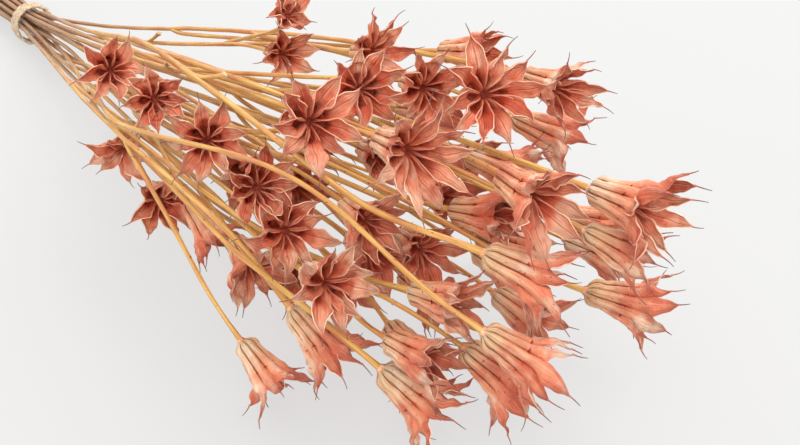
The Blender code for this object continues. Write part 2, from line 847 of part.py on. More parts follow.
def build():
    for obj in list(bpy.data.objects):
        bpy.data.objects.remove(obj, do_unlink=True)
    ochre = material("stem ochre", (0.55, 0.33, 0.12), 0.6)
    coral = material("pod coral", (0.62, 0.2, 0.13), 0.65)
    straw = material("tie straw", (0.7, 0.58, 0.42), 0.8)
    strands, pods, slots, place = lay_out()
    solids = []
    for number, pod in enumerate(pods, start=1):
        verts = pod.base + pod.shape
        verts[:, 2] = np.maximum(verts[:, 2], 0.0)
        solids.append(add_object("pod_%02d" % number, verts, pod.faces, coral))
    for stem in range(len(STEMS)):
        spray = stem >= FIRST_SPRAY
        name = ("spray_%02d" if spray else "stem_%02d") % (stem + 1)
        tubes = []
        for strand in strands:
            if strand.stem == stem:
                points, radii = strand_line(strand, place, slots)
                branch_sides = SPRAY_SIDES if spray else BRANCH_SIDES
                sides = STEM_SIDES if strand.parent is None else branch_sides
                verts, faces = tube(points, radii, sides)
                tubes.append(add_object(name, verts, faces, coral if spray else ochre))
                if spray:
                    tubes.append(solids[strand.number])
        join_solids(tubes[0], tubes[1:])
    verts, faces = tie_shape()
    add_object("tie", verts, faces, straw)


if __name__ == "__main__":
    build()
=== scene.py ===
# A tied bunch of dried nigella seed pods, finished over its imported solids.
# Every pod is a ring of folded follicles, every stem a ribbed, branching stalk, and the tie wound twine.
# Sizes are in millimetres unless a comment says otherwise, and MM turns them into Blender's metres.
import itertools
import math

import bpy
import numpy as np
from mathutils import Matrix, Vector


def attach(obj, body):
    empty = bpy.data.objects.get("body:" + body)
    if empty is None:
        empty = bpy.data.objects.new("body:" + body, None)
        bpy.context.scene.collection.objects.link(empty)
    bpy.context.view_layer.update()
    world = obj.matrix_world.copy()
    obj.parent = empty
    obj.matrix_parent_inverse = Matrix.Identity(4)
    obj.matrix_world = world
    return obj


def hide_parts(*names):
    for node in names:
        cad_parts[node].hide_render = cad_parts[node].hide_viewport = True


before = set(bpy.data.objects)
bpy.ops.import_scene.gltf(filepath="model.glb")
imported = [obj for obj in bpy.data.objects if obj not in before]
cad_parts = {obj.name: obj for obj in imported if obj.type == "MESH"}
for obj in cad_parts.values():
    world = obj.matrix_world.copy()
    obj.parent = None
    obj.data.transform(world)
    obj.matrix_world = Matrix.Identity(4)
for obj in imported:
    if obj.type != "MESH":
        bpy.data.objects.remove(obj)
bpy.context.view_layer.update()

MM = 0.001

# Camera, as the photograph was taken: in front of the heads, a hand's width above them
CAMERA_PLACE = (0.6042, -0.2142, 0.252)
CAMERA_RIGHT = (0.629, 0.777, 0.0)
CAMERA_UP = (-0.412, 0.333, 0.848)
CAMERA_FORWARD = (-0.659, 0.534, -0.530)
CAMERA_LENS = 49.5

# Lamps: name, place and size in metres, and watts, all aimed at the heads' side of the bunch
LAMPS = [
    ("window", (0.1, 0.9, 1.6), 1.4, 20.0),
    ("soft box", (1.2, -0.9, 1.3), 1.2, 13.0),
]
LAMP_AIM = (0.25, 0.0, 0.05)
LAMP_COLOUR = (1.0, 0.98, 0.95)
SKY_COLOUR = (1.0, 0.995, 0.985, 1.0)
SKY_STRENGTH = 1.3
FLOOR_GLOW = 0.66
FLOOR_SIZE = 6.0

# Each pod: x, y, z of its rough place, heading, lift, length, flare, follicles, and how pale it is.
# The first pod of a group ends the main stem, and the others end its side branches.
STEMS = [
    [
        (358, -58, 38, 28, -46, 29, 32, 10, 1.00),
        (350, -64, 30, 22, -48, 24, 26, 8, 0.70),
        (316, -54, 46, -10, -12, 25, 38, 9, 0.60),
    ],
    [
        (368, -61, 63, -8, 16, 25, 42, 9, 0.75),
        (340, -55, 79, -14, 20, 25, 44, 9, 0.50),
        (250, -52, 42, -15, 5, 24, 40, 8, 0.50),
        (234, -47, 56, -50, -12, 22, 40, 8, 0.50),
    ],
    [
        (320, -52, 75, -14, 24, 25, 44, 10, 0.35),
        (286, -48, 68, -28, 20, 24, 52, 9, 0.50),
        (292, -54, 52, 12, -42, 24, 30, 8, 0.50),
    ],
    [
        (344, -46, 88, -16, 24, 25, 56, 9, 0.45),
        (360, -38, 72, -8, 2, 25, 34, 9, 0.35),
        (234, -48, 62, -20, 22, 23, 50, 8, 0.50),
    ],
    [
        (371, -35, 93, -5, 10, 30, 42, 11, 0.75),
        (349, -5, 95, -16, 14, 25, 42, 10, 0.50),
        (367, -24, 57, -10, 6, 25, 40, 10, 0.45),
    ],
    [
        (369, 0, 97, -20, 28, 27, 60, 10, 0.30),
        (324, -17, 84, -24, 24, 24, 56, 9, 0.05),
        (366, 6, 74, 35, -16, 25, 36, 9, 0.30),
        (204, -39, 66, -14, 24, 23, 50, 8, 0.45),
    ],
    [
        (358, 40, 93, 5, 0, 27, 34, 10, 0.35),
        (352, 42, 74, 42, -22, 26, 38, 9, 0.20),
        (312, 38, 86, 16, 12, 25, 18, 9, 0.45),
    ],
    [
        (290, 18, 85, -4, 20, 24, 44, 9, 0.40),
        (244, 12, 70, -6, 14, 23, 38, 8, 0.80),
        (264, 4, 90, -20, 38, 19, 30, 7, 0.40),
        (302, -26, 80, -22, 14, 24, 36, 9, 0.30),
    ],
    [
        (426, 0, 90, 6, 2, 29, 32, 10, 0.50),
        (408, -18, 95, -5, 0, 27, 38, 9, 0.50),
        (408, 5, 71, 42, -14, 27, 38, 9, 0.10),
        (319, 8, 78, 5, 14, 24, 38, 8, 0.30),
    ],
    [
        (421, -31, 78, 45, -26, 26, 32, 9, 0.40),
        (430, -3, 61, 46, -16, 25, 34, 9, 0.60),
        (430, -14, 82, 40, -26, 23, 14, 8, 0.75),
        (390, 34, 48, 28, -10, 27, 38, 9, 0.40),
    ],
    [
        (396, -52, 36, 38, -40, 29, 34, 10, 0.85),
        (414, -40, 47, 44, -40, 28, 32, 9, 0.15),
        (427, -36, 71, 44, -34, 27, 34, 10, 0.60),
        (330, 44, 20, 20, -14, 26, 40, 9, 0.40),
    ],
    [
        (397, -40, 57, 14, 8, 25, 12, 9, 0.55),
        (396, -46, 45, 8, 2, 25, 14, 9, 0.35),
        (372, -34, 33, -4, -14, 25, 36, 9, 0.40),
    ],
    [
        (392, -18, 62, 40, -20, 26, 38, 9, 0.30),
        (386, -18, 74, 12, 14, 26, 16, 9, 0.20),
        (388, 2, 34, 14, -18, 27, 40, 9, 0.40),
        (318, -18, 22, -10, -12, 24, 36, 8, 0.50),
    ],
    [
        (340, -26, 46, -6, 4, 25, 38, 7, 0.30),
        (318, -36, 36, -16, -2, 24, 36, 7, 0.20),
        (300, -24, 56, -12, 8, 24, 40, 7, 0.35),
        (276, -34, 46, -22, 4, 23, 40, 7, 0.15),
    ],
    [
        (342, 6, 54, 2, 6, 25, 36, 7, 0.30),
        (314, -4, 62, -6, 10, 24, 38, 7, 0.25),
        (286, -8, 60, -10, 12, 23, 40, 7, 0.10),
        (350, -8, 26, 8, -10, 25, 36, 7, 0.30),
    ],
    [
        (352, 28, 56, 14, 2, 25, 36, 7, 0.20),
        (320, 28, 54, 8, 4, 24, 36, 7, 0.35),
        (292, 32, 64, 6, 12, 23, 40, 7, 0.25),
        (356, 22, 26, 16, -12, 25, 36, 7, 0.30),
    ],
]

# The stems from this one on are sprays, whose solids hold their pods too. The point at the middle of
# each cup's floor has at least so many triangles, and lies at that share of the pod's length.
FIRST_SPRAY = 12
HUB_TRIANGLES = 12
CUP_FLOOR = 0.2072

# Follicles, as fractions of a pod's length
BASE_RADIUS = 0.055
SHOULDER = 0.088
SPLIT = 0.52
WIDEST_HALF = 0.2
TAPER_FROM = 0.64
THROAT = 0.48
STYLE = 0.15
SHOULDER_BEND = 0.04

# Lean of a follicle from the pod's axis, in degrees, and how soon a petal reaches its flare
SHOULDER_ANGLE = 58.0
CUP_ANGLE = 13.5
FLARE_RATE = 2.2

# A follicle's length against its pod's, before its own share
GROWTH = 1.1

# Chance ranges of a follicle: curl in degrees, twist in radians, sway as a share of the angle between
# two follicles, dish and roll as shares of its width, and reach as a share of its length
CURL = (-34.0, 40.0)
SWAY = (-0.34, 0.34)
TWIST = (-0.9, 0.9)
DISH = (0.4, 1.2)
ROLL = (-0.6, 0.3)
REACH = (0.84, 1.04)

# Depth of the creases and size of the open middle, as shares of the cup's radius: low down in the
# cup, and what is added on the way up to the split
CREASE_LOW = 0.14
CREASE_MORE = 0.12
HOLE_LOW = 0.08
HOLE_MORE = 0.24

# The swelling of a rib above the shoulder: depth, place and width as shares of a pod's length
BUMP_DEPTH = 0.022
BUMP_AT = 0.14
BUMP_WIDTH = 0.06

# Waves of a petal's edge: depth as a share of its width, and how many
EDGE_WAVES = ((0.1, 1.9), (0.09, 5.3))

# Follicle details in millimetres: dents as pairs of wave length and depth, and the least of a width
DENTS = ((10.0, 0.42), (5.2, 0.38), (2.9, 0.15))
TIP_HALF = 0.28
STYLE_THICK = 0.3
STYLE_THIN = 0.1
PARTITION_GAP = 0.12
LEAST_HALF = 0.02
FLOOR_GAP = 0.05

# The throat's dip and ripples, and the knob's size as a share of a pod's length
THROAT_FILL = 0.93
THROAT_DIP = 0.35
THROAT_RIPPLE = 0.25
KNOB = np.array([0.062, 0.062, 0.05])

# Follicle sheet: divisions across and along, and the share of its half that is the outer wall
ACROSS = 14
ALONG = 26
INNER_ACROSS = 14
INNER_ALONG = 16
CREASE_AT = 4 / 7
WALL = 0.26

# Stems
SLICE_STEP = 2.5
STEM_RADIUS = 1.3
BRANCH_RADIUS = 0.98
TWIG_RADIUS = 0.74
STEM_SIDES = 12
LINE_STEP = 3.5
STALK_GAP = 0.25

# Snapped side twigs: place along the stem, turn round it in radians, and length
TORN_TWIGS = {
    "stem_02_stalk": [(0.62, 0.9, 22.0)],
    "stem_03_stalk": [(0.7, 1.4, 18.0)],
    "stem_05_stalk": [(0.66, 0.6, 24.0)],
    "stem_08_stalk": [(0.58, 1.1, 19.0), (0.83, -0.4, 14.0)],
    "stem_10_stalk": [(0.74, 2.2, 20.0)],
    "stem_12_stalk": [(0.6, 0.3, 17.0)],
}

# Tie
TIE_AXIS_Z = 11.2
TIE_INNER = 9.9
TIE_TURNS = 4
TIE_PITCH = 1.9
TWINE_RADIUS = 0.92
TURN_STEPS = 64
PLY_DEPTH = 0.26
PLY_TWIST = 1.5
TIE_HAIRS = 90
HAIRS_ABOVE = 4.0


def deselect():
    bpy.ops.object.select_all(action="DESELECT")


def choose(objects):
    deselect()
    for obj in objects:
        obj.select_set(True)
    bpy.context.view_layer.objects.active = objects[0]


def join(objects, name):
    choose(objects)
    bpy.ops.object.join()
    objects[0].name = name
    return objects[0]


def smooth_edges(piece, degrees):
    # Smooth shading, apart from edges sharper than so many degrees.
    choose([piece])
    bpy.ops.object.shade_smooth_by_angle(angle=math.radians(degrees))


def apply_modifier(obj, kind, **settings):
    modifier = obj.modifiers.new(kind.lower(), kind)
    for key, value in settings.items():
        setattr(modifier, key, value)
    choose([obj])
    bpy.ops.object.modifier_apply(modifier=modifier.name)


def copy_of(blank, name):
    obj = blank.copy()
    obj.data = blank.data.copy()
    obj.name = name
    bpy.context.scene.collection.objects.link(obj)
    return obj


def get_points(obj):
    points = np.zeros(len(obj.data.vertices) * 3)
    obj.data.vertices.foreach_get("co", points)
    return points.reshape(-1, 3)


def set_points(obj, points):
    obj.data.vertices.foreach_set("co", (points * MM).ravel())
    obj.data.update()


def add_attribute(obj, name, values):
    layer = obj.data.attributes.new(name, "FLOAT", "POINT")
    layer.data.foreach_set("value", np.asarray(values, float).ravel())


def smooth(low, high, value):
    u = np.clip((value - low) / (high - low), 0.0, 1.0)
    return u * u * (3 - 2 * u)


# Materials


def srgb(red, green, blue):
    # A colour on the screen's scale of 0 to 255, as linear light.
    parts = []
    for part in (red, green, blue):
        part = part / 255
        parts.append(part / 12.92 if part <= 0.04045 else ((part + 0.055) / 1.055) ** 2.4)
    return (*parts, 1.0)


class Shader:
    # A small bench for wiring up one procedural material.
    def __init__(self, name, roughness):
        self.material = bpy.data.materials.new(name)
        self.material.use_nodes = True
        self.tree = self.material.node_tree
        self.surface = self.tree.nodes["Principled BSDF"]
        self.surface.inputs["Roughness"].default_value = roughness
        self.surface.inputs["Metallic"].default_value = 0.0

    def add(self, kind, **settings):
        node = self.tree.nodes.new(kind)
        for key, value in settings.items():
            setattr(node, key, value)
        return node

    def link(self, source, target):
        self.tree.links.new(source, target)

    def place(self, space, scale=(1.0, 1.0, 1.0)):
        # Coordinates in an object's own space or on its UV map, scaled.
        where = self.add("ShaderNodeTexCoord")
        mapping = self.add("ShaderNodeMapping")
        mapping.inputs["Scale"].default_value = scale
        self.link(where.outputs[space], mapping.inputs["Vector"])
        return mapping.outputs["Vector"]

    def noise(self, vector, scale, detail=3.0, roughness=0.55):
        node = self.add("ShaderNodeTexNoise")
        node.inputs["Scale"].default_value = scale
        node.inputs["Detail"].default_value = detail
        node.inputs["Roughness"].default_value = roughness
        self.link(vector, node.inputs["Vector"])
        return node.outputs["Fac"]

    def attribute(self, name):
        return self.add("ShaderNodeAttribute", attribute_name=name).outputs["Fac"]

    def split(self, vector):
        node = self.add("ShaderNodeSeparateXYZ")
        self.link(vector, node.inputs["Vector"])
        return node.outputs

    def math(self, operation, one, two=None):
        node = self.add("ShaderNodeMath", operation=operation)
        for socket, value in zip(node.inputs, (one, two)):
            if value is None:
                continue
            if isinstance(value, (int, float)):
                socket.default_value = value
            else:
                self.link(value, socket)
        return node.outputs["Value"]

    def fit(self, value, low, high, to_low=0.0, to_high=1.0):
        node = self.add("ShaderNodeMapRange")
        node.inputs["From Min"].default_value = low
        node.inputs["From Max"].default_value = high
        node.inputs["To Min"].default_value = to_low
        node.inputs["To Max"].default_value = to_high
        self.link(value, node.inputs["Value"])
        return node.outputs["Result"]

    def ramp(self, value, stops):
        node = self.add("ShaderNodeValToRGB")
        elements = node.color_ramp.elements
        while len(elements) < len(stops):
            elements.new(0.5)
        for element, (place, colour) in zip(elements, stops):
            element.position = place
            element.color = colour
        self.link(value, node.inputs["Fac"])
        return node.outputs["Color"]

    def mix(self, factor, one, two):
        node = self.add("ShaderNodeMix", data_type="RGBA", blend_type="MIX")
        for socket, value in ((node.inputs[0], factor), (node.inputs[6], one), (node.inputs[7], two)):
            if isinstance(value, (int, float, tuple)):
                socket.default_value = value
            else:
                self.link(value, socket)
        return node.outputs[2]

    def bump(self, height, strength, distance):
        node = self.add("ShaderNodeBump")
        node.inputs["Strength"].default_value = strength
        node.inputs["Distance"].default_value = distance
        self.link(height, node.inputs["Height"])
        self.link(node.outputs["Normal"], self.surface.inputs["Normal"])

    def colour(self, value):
        self.link(value, self.surface.inputs["Base Color"])


def stain(shader, body, pale, deep):
    # Dye that took unevenly: paler and redder patches, a few to a pod.
    patch = shader.noise(shader.place("Object"), 85.0, 3.0)
    body = shader.mix(shader.fit(patch, 0.52, 0.66, 0.0, 0.75), body, pale)
    return shader.mix(shader.fit(patch, 0.47, 0.33, 0.0, 0.7), body, deep)


def from_middle(shader, across):
    # How far a place on a follicle is from its fold, 0 to 0.5.
    return shader.math("ABSOLUTE", shader.math("SUBTRACT", across, 0.5))


def husk_veins(shader):
    # Fine nerves that run along a follicle, and the crinkles of the dried tissue between them.
    fine = shader.noise(shader.place("UV", (34.0, 1.6, 1.0)), 1.0, 2.0)
    crinkle = shader.noise(shader.place("Object"), 1400.0, 3.0)
    return fine, crinkle


def husk_outside():
    # Peach ridges with coral tissue between them, and redder towards the tips.
    shader = Shader("husk outside", 0.46)
    across, along, _ = shader.split(shader.place("UV"))
    blotch = shader.noise(shader.place("Object"), 150.0, 3.0)
    pale = shader.math("ADD", shader.attribute("paleness"), shader.fit(blotch, 0.3, 0.7, -0.3, 0.3))
    reach = shader.math("ADD", along, shader.fit(blotch, 0.3, 0.7, -0.1, 0.1))
    ridge = shader.ramp(
        reach,
        [
            (0.0, srgb(244, 214, 170)),
            (0.35, srgb(246, 200, 160)),
            (0.6, srgb(240, 170, 132)),
            (0.85, srgb(226, 136, 104)),
            (1.0, srgb(200, 100, 76)),
        ],
    )
    tissue = shader.ramp(
        reach,
        [
            (0.0, srgb(246, 202, 148)),
            (0.3, srgb(246, 172, 126)),
            (0.55, srgb(242, 144, 106)),
            (0.8, srgb(230, 122, 90)),
            (1.0, srgb(206, 94, 70)),
        ],
    )
    side = from_middle(shader, across)
    band = shader.fit(side, 0.04, 0.18, 1.0, 0.0)
    cream = shader.math("MULTIPLY", band, shader.fit(pale, -0.1, 1.0, 0.1, 1.0))
    cream = shader.math("MAXIMUM", cream, shader.fit(pale, 0.6, 1.2, 0.0, 0.8))
    body = shader.mix(cream, tissue, ridge)
    body = stain(shader, body, srgb(254, 226, 196), srgb(210, 88, 62))
    fine, crinkle = husk_veins(shader)
    body = shader.mix(shader.fit(fine, 0.52, 0.74, 0.0, 0.65), body, srgb(202, 88, 60))
    body = shader.mix(shader.fit(fine, 0.32, 0.46, 0.35, 0.0), body, srgb(255, 222, 184))
    # Painted shade: the valleys where neighbouring ribs meet are darkened below the split.
    crease_shade = shader.math("ABSOLUTE", shader.math("SUBTRACT", side, CREASE_AT / 2))
    crease_shade = shader.fit(crease_shade, 0.0, 0.06, 0.8, 0.0)
    crease_shade = shader.math("MULTIPLY", crease_shade, shader.fit(along, SPLIT - 0.02, SPLIT + 0.12, 1.0, 0.0))
    body = shader.mix(crease_shade, body, srgb(150, 62, 40))
    specks = shader.noise(shader.place("Object"), 900.0, 1.0)
    body = shader.mix(shader.fit(specks, 0.71, 0.76, 0.0, 0.7), body, srgb(110, 52, 38))
    shader.colour(body)
    height = shader.math("ADD", fine, shader.math("MULTIPLY", crinkle, 0.6))
    shader.bump(height, 0.9, 0.0011)
    return shader.material


def husk_inside():
    # Red in the throat, coral above it, with a darker fold, and paler margins towards the tips.
    shader = Shader("husk inside", 0.42)
    across, along, _ = shader.split(shader.place("UV"))
    blotch = shader.noise(shader.place("Object"), 150.0, 3.0)
    pale = shader.math("ADD", shader.attribute("paleness"), shader.fit(blotch, 0.3, 0.7, -0.35, 0.25))
    reach = shader.math("ADD", along, shader.fit(blotch, 0.3, 0.7, -0.07, 0.07))
    deep = shader.ramp(
        reach,
        [
            (0.0, srgb(160, 48, 30)),
            (0.34, srgb(204, 74, 48)),
            (0.54, srgb(220, 88, 58)),
            (0.8, srgb(234, 118, 84)),
            (1.0, srgb(230, 134, 100)),
        ],
    )
    light = shader.ramp(
        reach,
        [
            (0.0, srgb(170, 56, 36)),
            (0.34, srgb(222, 98, 66)),
            (0.54, srgb(240, 128, 92)),
            (0.8, srgb(254, 184, 148)),
            (1.0, srgb(255, 214, 182)),
        ],
    )
    body = shader.mix(shader.fit(pale, 0.0, 1.1), deep, light)
    body = stain(shader, body, srgb(255, 206, 174), srgb(182, 52, 34))
    fine, crinkle = husk_veins(shader)
    body = shader.mix(shader.fit(fine, 0.52, 0.72, 0.0, 0.5), body, srgb(190, 72, 50))
    body = shader.mix(shader.fit(fine, 0.32, 0.46, 0.5, 0.0), body, srgb(255, 196, 156))
    side = from_middle(shader, across)
    fold = shader.math("MULTIPLY", shader.fit(side, 0.0, 0.035, 0.6, 0.0), shader.fit(along, 0.3, 0.6))
    body = shader.mix(fold, body, srgb(150, 50, 36))
    edge = shader.math("MULTIPLY", shader.fit(side, 0.42, 0.49), shader.fit(along, 0.52, 0.76))
    body = shader.mix(shader.math("MULTIPLY", edge, 0.9), body, srgb(255, 214, 180))
    shader.colour(body)
    height = shader.math("ADD", fine, shader.math("MULTIPLY", crinkle, 0.5))
    shader.bump(height, 0.9, 0.0011)
    return shader.material


def husk_rim():
    shader = Shader("husk rim", 0.45)
    _, along, _ = shader.split(shader.place("UV"))
    tint = shader.ramp(
        along,
        [
            (0.0, srgb(150, 60, 42)),
            (0.5, srgb(184, 84, 60)),
            (0.66, srgb(226, 150, 116)),
            (0.8, srgb(254, 214, 182)),
            (1.0, srgb(214, 140, 110)),
        ],
    )
    wear = shader.noise(shader.place("Object"), 700.0, 2.0)
    shader.colour(shader.mix(shader.fit(wear, 0.5, 0.75, 0.0, 0.6), tint, srgb(186, 92, 66)))
    shader.bump(wear, 0.3, 0.0002)
    return shader.material


def throat_skin():
    shader = Shader("throat skin", 0.6)
    mottle = shader.noise(shader.place("Object"), 500.0, 3.0)
    tint = shader.ramp(
        mottle,
        [
            (0.3, srgb(150, 44, 30)),
            (0.5, srgb(200, 76, 52)),
            (0.7, srgb(232, 120, 86)),
        ],
    )
    shader.colour(tint)
    shader.bump(mottle, 0.7, 0.0005)
    return shader.material


def style_skin():
    shader = Shader("style", 0.5)
    _, along, _ = shader.split(shader.place("UV"))
    tint = shader.ramp(
        along,
        [
            (0.0, srgb(192, 102, 78)),
            (0.35, srgb(140, 76, 64)),
            (0.7, srgb(84, 46, 44)),
            (1.0, srgb(58, 34, 34)),
        ],
    )
    wear = shader.noise(shader.place("Object"), 800.0, 2.0)
    shader.colour(shader.mix(shader.fit(wear, 0.4, 0.7, 0.0, 0.5), tint, srgb(150, 92, 74)))
    shader.bump(wear, 0.3, 0.0002)
    return shader.material


def stem_skin():
    shader = Shader("stem skin", 0.42)
    streak = shader.noise(shader.place("UV", (9.0, 0.05, 1.0)), 1.0, 4.0, 0.6)
    blotch = shader.noise(shader.place("Object", (1.0, 2.0, 2.0)), 45.0, 3.0)
    east, _, _ = shader.split(shader.place("Object"))
    golden = shader.ramp(
        streak,
        [
            (0.25, srgb(152, 98, 44)),
            (0.45, srgb(194, 142, 68)),
            (0.62, srgb(216, 172, 94)),
            (0.8, srgb(238, 208, 144)),
        ],
    )
    dusty = shader.ramp(
        streak,
        [
            (0.25, srgb(112, 76, 52)),
            (0.5, srgb(156, 116, 82)),
            (0.8, srgb(196, 160, 122)),
        ],
    )
    body = shader.mix(shader.fit(east, 0.03, 0.17), dusty, golden)
    # Reddish patches, partly the stems' own tint and partly painted shade, stronger towards the heads
    # that shade them.
    flush_and_shade = shader.fit(blotch, 0.44, 0.68, 0.0, 0.6)
    flush_and_shade = shader.math("MULTIPLY", flush_and_shade, shader.fit(east, 0.0, 0.2, 0.35, 1.0))
    body = shader.mix(flush_and_shade, body, srgb(176, 92, 60))
    specks = shader.noise(shader.place("Object"), 800.0, 1.0)
    body = shader.mix(shader.fit(specks, 0.7, 0.74, 0.0, 0.8), body, srgb(84, 48, 26))
    shader.colour(body)
    shader.bump(streak, 0.6, 0.0004)
    return shader.material


def pith():
    shader = Shader("pith", 0.8)
    grain = shader.noise(shader.place("Object"), 1800.0, 2.0)
    shader.colour(shader.mix(grain, srgb(206, 178, 134), srgb(238, 222, 190)))
    shader.bump(grain, 0.5, 0.0003)
    return shader.material


def twine_fibre():
    shader = Shader("twine fibre", 0.75)
    fibre = shader.noise(shader.place("UV", (5.0, 0.5, 1.0)), 1.0, 4.0, 0.65)
    tint = shader.ramp(
        fibre,
        [
            (0.25, srgb(138, 112, 84)),
            (0.5, srgb(194, 172, 142)),
            (0.75, srgb(228, 212, 186)),
        ],
    )
    shader.colour(tint)
    shader.bump(fibre, 0.8, 0.0003)
    return shader.material


def floor_paint():
    # A lit table such as product photographs are taken on, so that shadows on it stay faint.
    shader = Shader("floor paint", 0.8)
    cloud = shader.noise(shader.place("Object"), 2.0, 2.0)
    shader.colour(shader.mix(cloud, srgb(100, 100, 100), srgb(104, 104, 104)))
    shader.surface.inputs["Emission Color"].default_value = srgb(242, 242, 242)
    shader.surface.inputs["Emission Strength"].default_value = FLOOR_GLOW
    return shader.material


# Blanks: each is a primitive that is shaped once and then copied


def follicle_blank(across, along):
    deselect()
    bpy.ops.mesh.primitive_grid_add(x_subdivisions=across, y_subdivisions=along, size=1.0)
    blank = bpy.context.object
    blank.name = "follicle_blank"
    return blank


def roll_grid(name, line, radii, sides, turn=0.0, lobes=0, lobe_depth=0.0, lobe_twist=0.0):
    # A flat grid is rolled into a tube along a line, welded at its seam and closed at both ends.
    deselect()
    rings = len(line) - 1
    bpy.ops.mesh.primitive_grid_add(x_subdivisions=sides, y_subdivisions=rings, size=1.0)
    obj = bpy.context.object
    obj.name = name
    flat = get_points(obj)
    ring = np.rint((flat[:, 1] + 0.5) * rings).astype(int)
    angle = 2 * math.pi * (flat[:, 0] + 0.5) + turn
    along = np.concatenate([[0.0], np.cumsum(np.linalg.norm(np.diff(line, axis=0), axis=1))])
    across, up = carried_frames(line)
    size = radii[ring]
    if lobes:
        size = size * (1.0 + lobe_depth * np.cos(lobes * angle + lobe_twist * along[ring]))
    spread = across[ring] * np.cos(angle)[:, None] + up[ring] * np.sin(angle)[:, None]
    set_points(obj, line[ring] + spread * size[:, None])
    # The map runs once round the tube, and its length is in millimetres.
    layer = obj.data.uv_layers.active.data
    uv = np.zeros(len(layer) * 2)
    layer.foreach_get("uv", uv)
    uv = uv.reshape(-1, 2)
    uv[:, 1] = along[np.rint(uv[:, 1] * rings).astype(int)]
    layer.foreach_set("uv", uv.ravel())
    choose([obj])
    bpy.ops.object.mode_set(mode="EDIT")
    bpy.ops.mesh.select_all(action="SELECT")
    bpy.ops.mesh.remove_doubles(threshold=0.000002)
    bpy.ops.mesh.fill_holes(sides=0)
    bpy.ops.mesh.normals_make_consistent(inside=False)
    bpy.ops.object.mode_set(mode="OBJECT")
    return obj


def carried_frames(line):
    # Two directions square to the line at each point, carried along it without twisting.
    ways = np.gradient(line, axis=0)
    ways = ways / np.linalg.norm(ways, axis=1)[:, None]
    first = np.cross(ways[0], (0.0, 0.0, 1.0))
    if np.linalg.norm(first) < 0.01:
        first = np.array([1.0, 0.0, 0.0])
    across = np.zeros_like(line)
    for k, way in enumerate(ways):
        first = first - way * float(first @ way)
        first = first / np.linalg.norm(first)
        across[k] = first
    return across, np.cross(ways, across)


def style_blank():
    # A thin spike along Z, one unit long, whose copies are bent to their places.
    rows = 7
    line = np.stack([np.zeros(rows), np.zeros(rows), np.linspace(0.0, 1.0, rows)], axis=1)
    return roll_grid("style_blank", line, np.ones(rows), 5)


def round_blank(name, segments):
    # For the swollen top of a stalk, and for the throat, which is flattened later.
    deselect()
    bpy.ops.mesh.primitive_uv_sphere_add(segments=segments, ring_count=8, radius=1.0)
    blank = bpy.context.object
    blank.name = name
    return blank


# Pods


def pod_axis(pod):
    h = math.radians(pod[3])
    e = math.radians(pod[4])
    return np.array([math.cos(h) * math.cos(e), math.sin(h) * math.cos(e), math.sin(e)])


def pod_turn(axis):
    side = np.cross(axis, (0.0, 0.0, 1.0))
    side = side / np.linalg.norm(side)
    return np.stack([side, np.cross(axis, side), axis], axis=1)


def node_points(node):
    # The corners of a solid, each once, in millimetres.
    points = get_points(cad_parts[node]) / MM
    return np.unique(np.round(points, 3), axis=0)


def pod_base(node, pod):
    # The point of a pod's solid that lies lowest along its axis is where the stalk joins.
    points = node_points(node)
    return points[np.argmin(points @ pod_axis(pod))]


def spray_bases(points, triangles, pods):
    # Many triangles meet at the floor of each cup, a known height above the base of its pod.
    hubs = points[np.bincount(triangles.ravel(), minlength=len(points)) >= HUB_TRIANGLES]
    bases = []
    for pod in pods:
        bases.append(hubs - pod_axis(pod) * CUP_FLOOR * pod[5])
    best = None
    for order in itertools.permutations(range(len(hubs)), len(pods)):
        chosen = [bases[k][hub] for k, hub in enumerate(order)]
        miss = sum(float(np.sum((base - pod[:3]) ** 2)) for base, pod in zip(chosen, pods))
        if best is None or miss < best[0]:
            best = (miss, chosen)
    return best[1]


def past_split(share):
    # How far up its petal a place on a follicle is: 0 up to the split, and 1 at the tip.
    return np.clip((share - SPLIT) / (1.0 - SPLIT), 0.0, 1.0)


class Midrib:
    # The outer ridge of a follicle, as radius, height and lean at each fraction of its length.
    def __init__(self, length, flare, curl):
        steps = 160
        self.share = np.linspace(0.0, 1.0, steps + 1)
        middle = (self.share[1:] + self.share[:-1]) / 2
        turned = smooth(SHOULDER - SHOULDER_BEND, SHOULDER + SHOULDER_BEND, middle)
        lean = SHOULDER_ANGLE + (CUP_ANGLE - SHOULDER_ANGLE) * turned
        opened = past_split(middle)
        lean = lean + (flare - CUP_ANGLE) * np.minimum(1.0, FLARE_RATE * opened) + curl * opened**2
        step = length / steps
        self.lean = np.radians(np.append(lean, lean[-1]))
        radians = np.radians(lean)
        self.radius = BASE_RADIUS * length + np.concatenate([[0.0], np.cumsum(np.sin(radians) * step)])
        self.height = np.concatenate([[0.0], np.cumsum(np.cos(radians) * step)])

    def at(self, share):
        radius = np.interp(share, self.share, self.radius)
        height = np.interp(share, self.share, self.height)
        lean = np.interp(share, self.share, self.lean)
        return radius, height, lean


def fused_section(side, radius, half, crease, hole):
    # Across the cup: a rounded rib out to the crease, then a partition in towards the middle.
    crease_radius = radius * crease
    depth = radius - crease_radius * math.cos(half)
    turn = np.clip(side / CREASE_AT, 0.0, 1.0) * math.pi / 2
    inward = depth * (1.0 - np.cos(turn))
    out = crease_radius * math.sin(half) * np.sin(turn)
    partition = np.clip((side - CREASE_AT) / (1.0 - CREASE_AT), 0.0, 1.0)
    far = depth + (radius - depth) * (1.0 - hole) * partition
    out = np.where(partition > 0.0, (radius - far) * math.tan(half) - PARTITION_GAP * partition, out)
    inward = np.where(partition > 0.0, far, inward)
    return np.maximum(out, LEAST_HALF), inward


def crumple(across, along, waves, draw):
    # Soft dents of a few millimetres, as a sum of waves that run in chance directions.
    dents = np.zeros_like(along)
    for length, depth in waves:
        for _ in range(2):
            way = draw.uniform(0.0, math.pi)
            phase = draw.uniform(0.0, 2 * math.pi)
            run = across * math.cos(way) + along * math.sin(way)
            dents = dents + depth * np.sin(2 * math.pi * run / length + phase)
    return dents


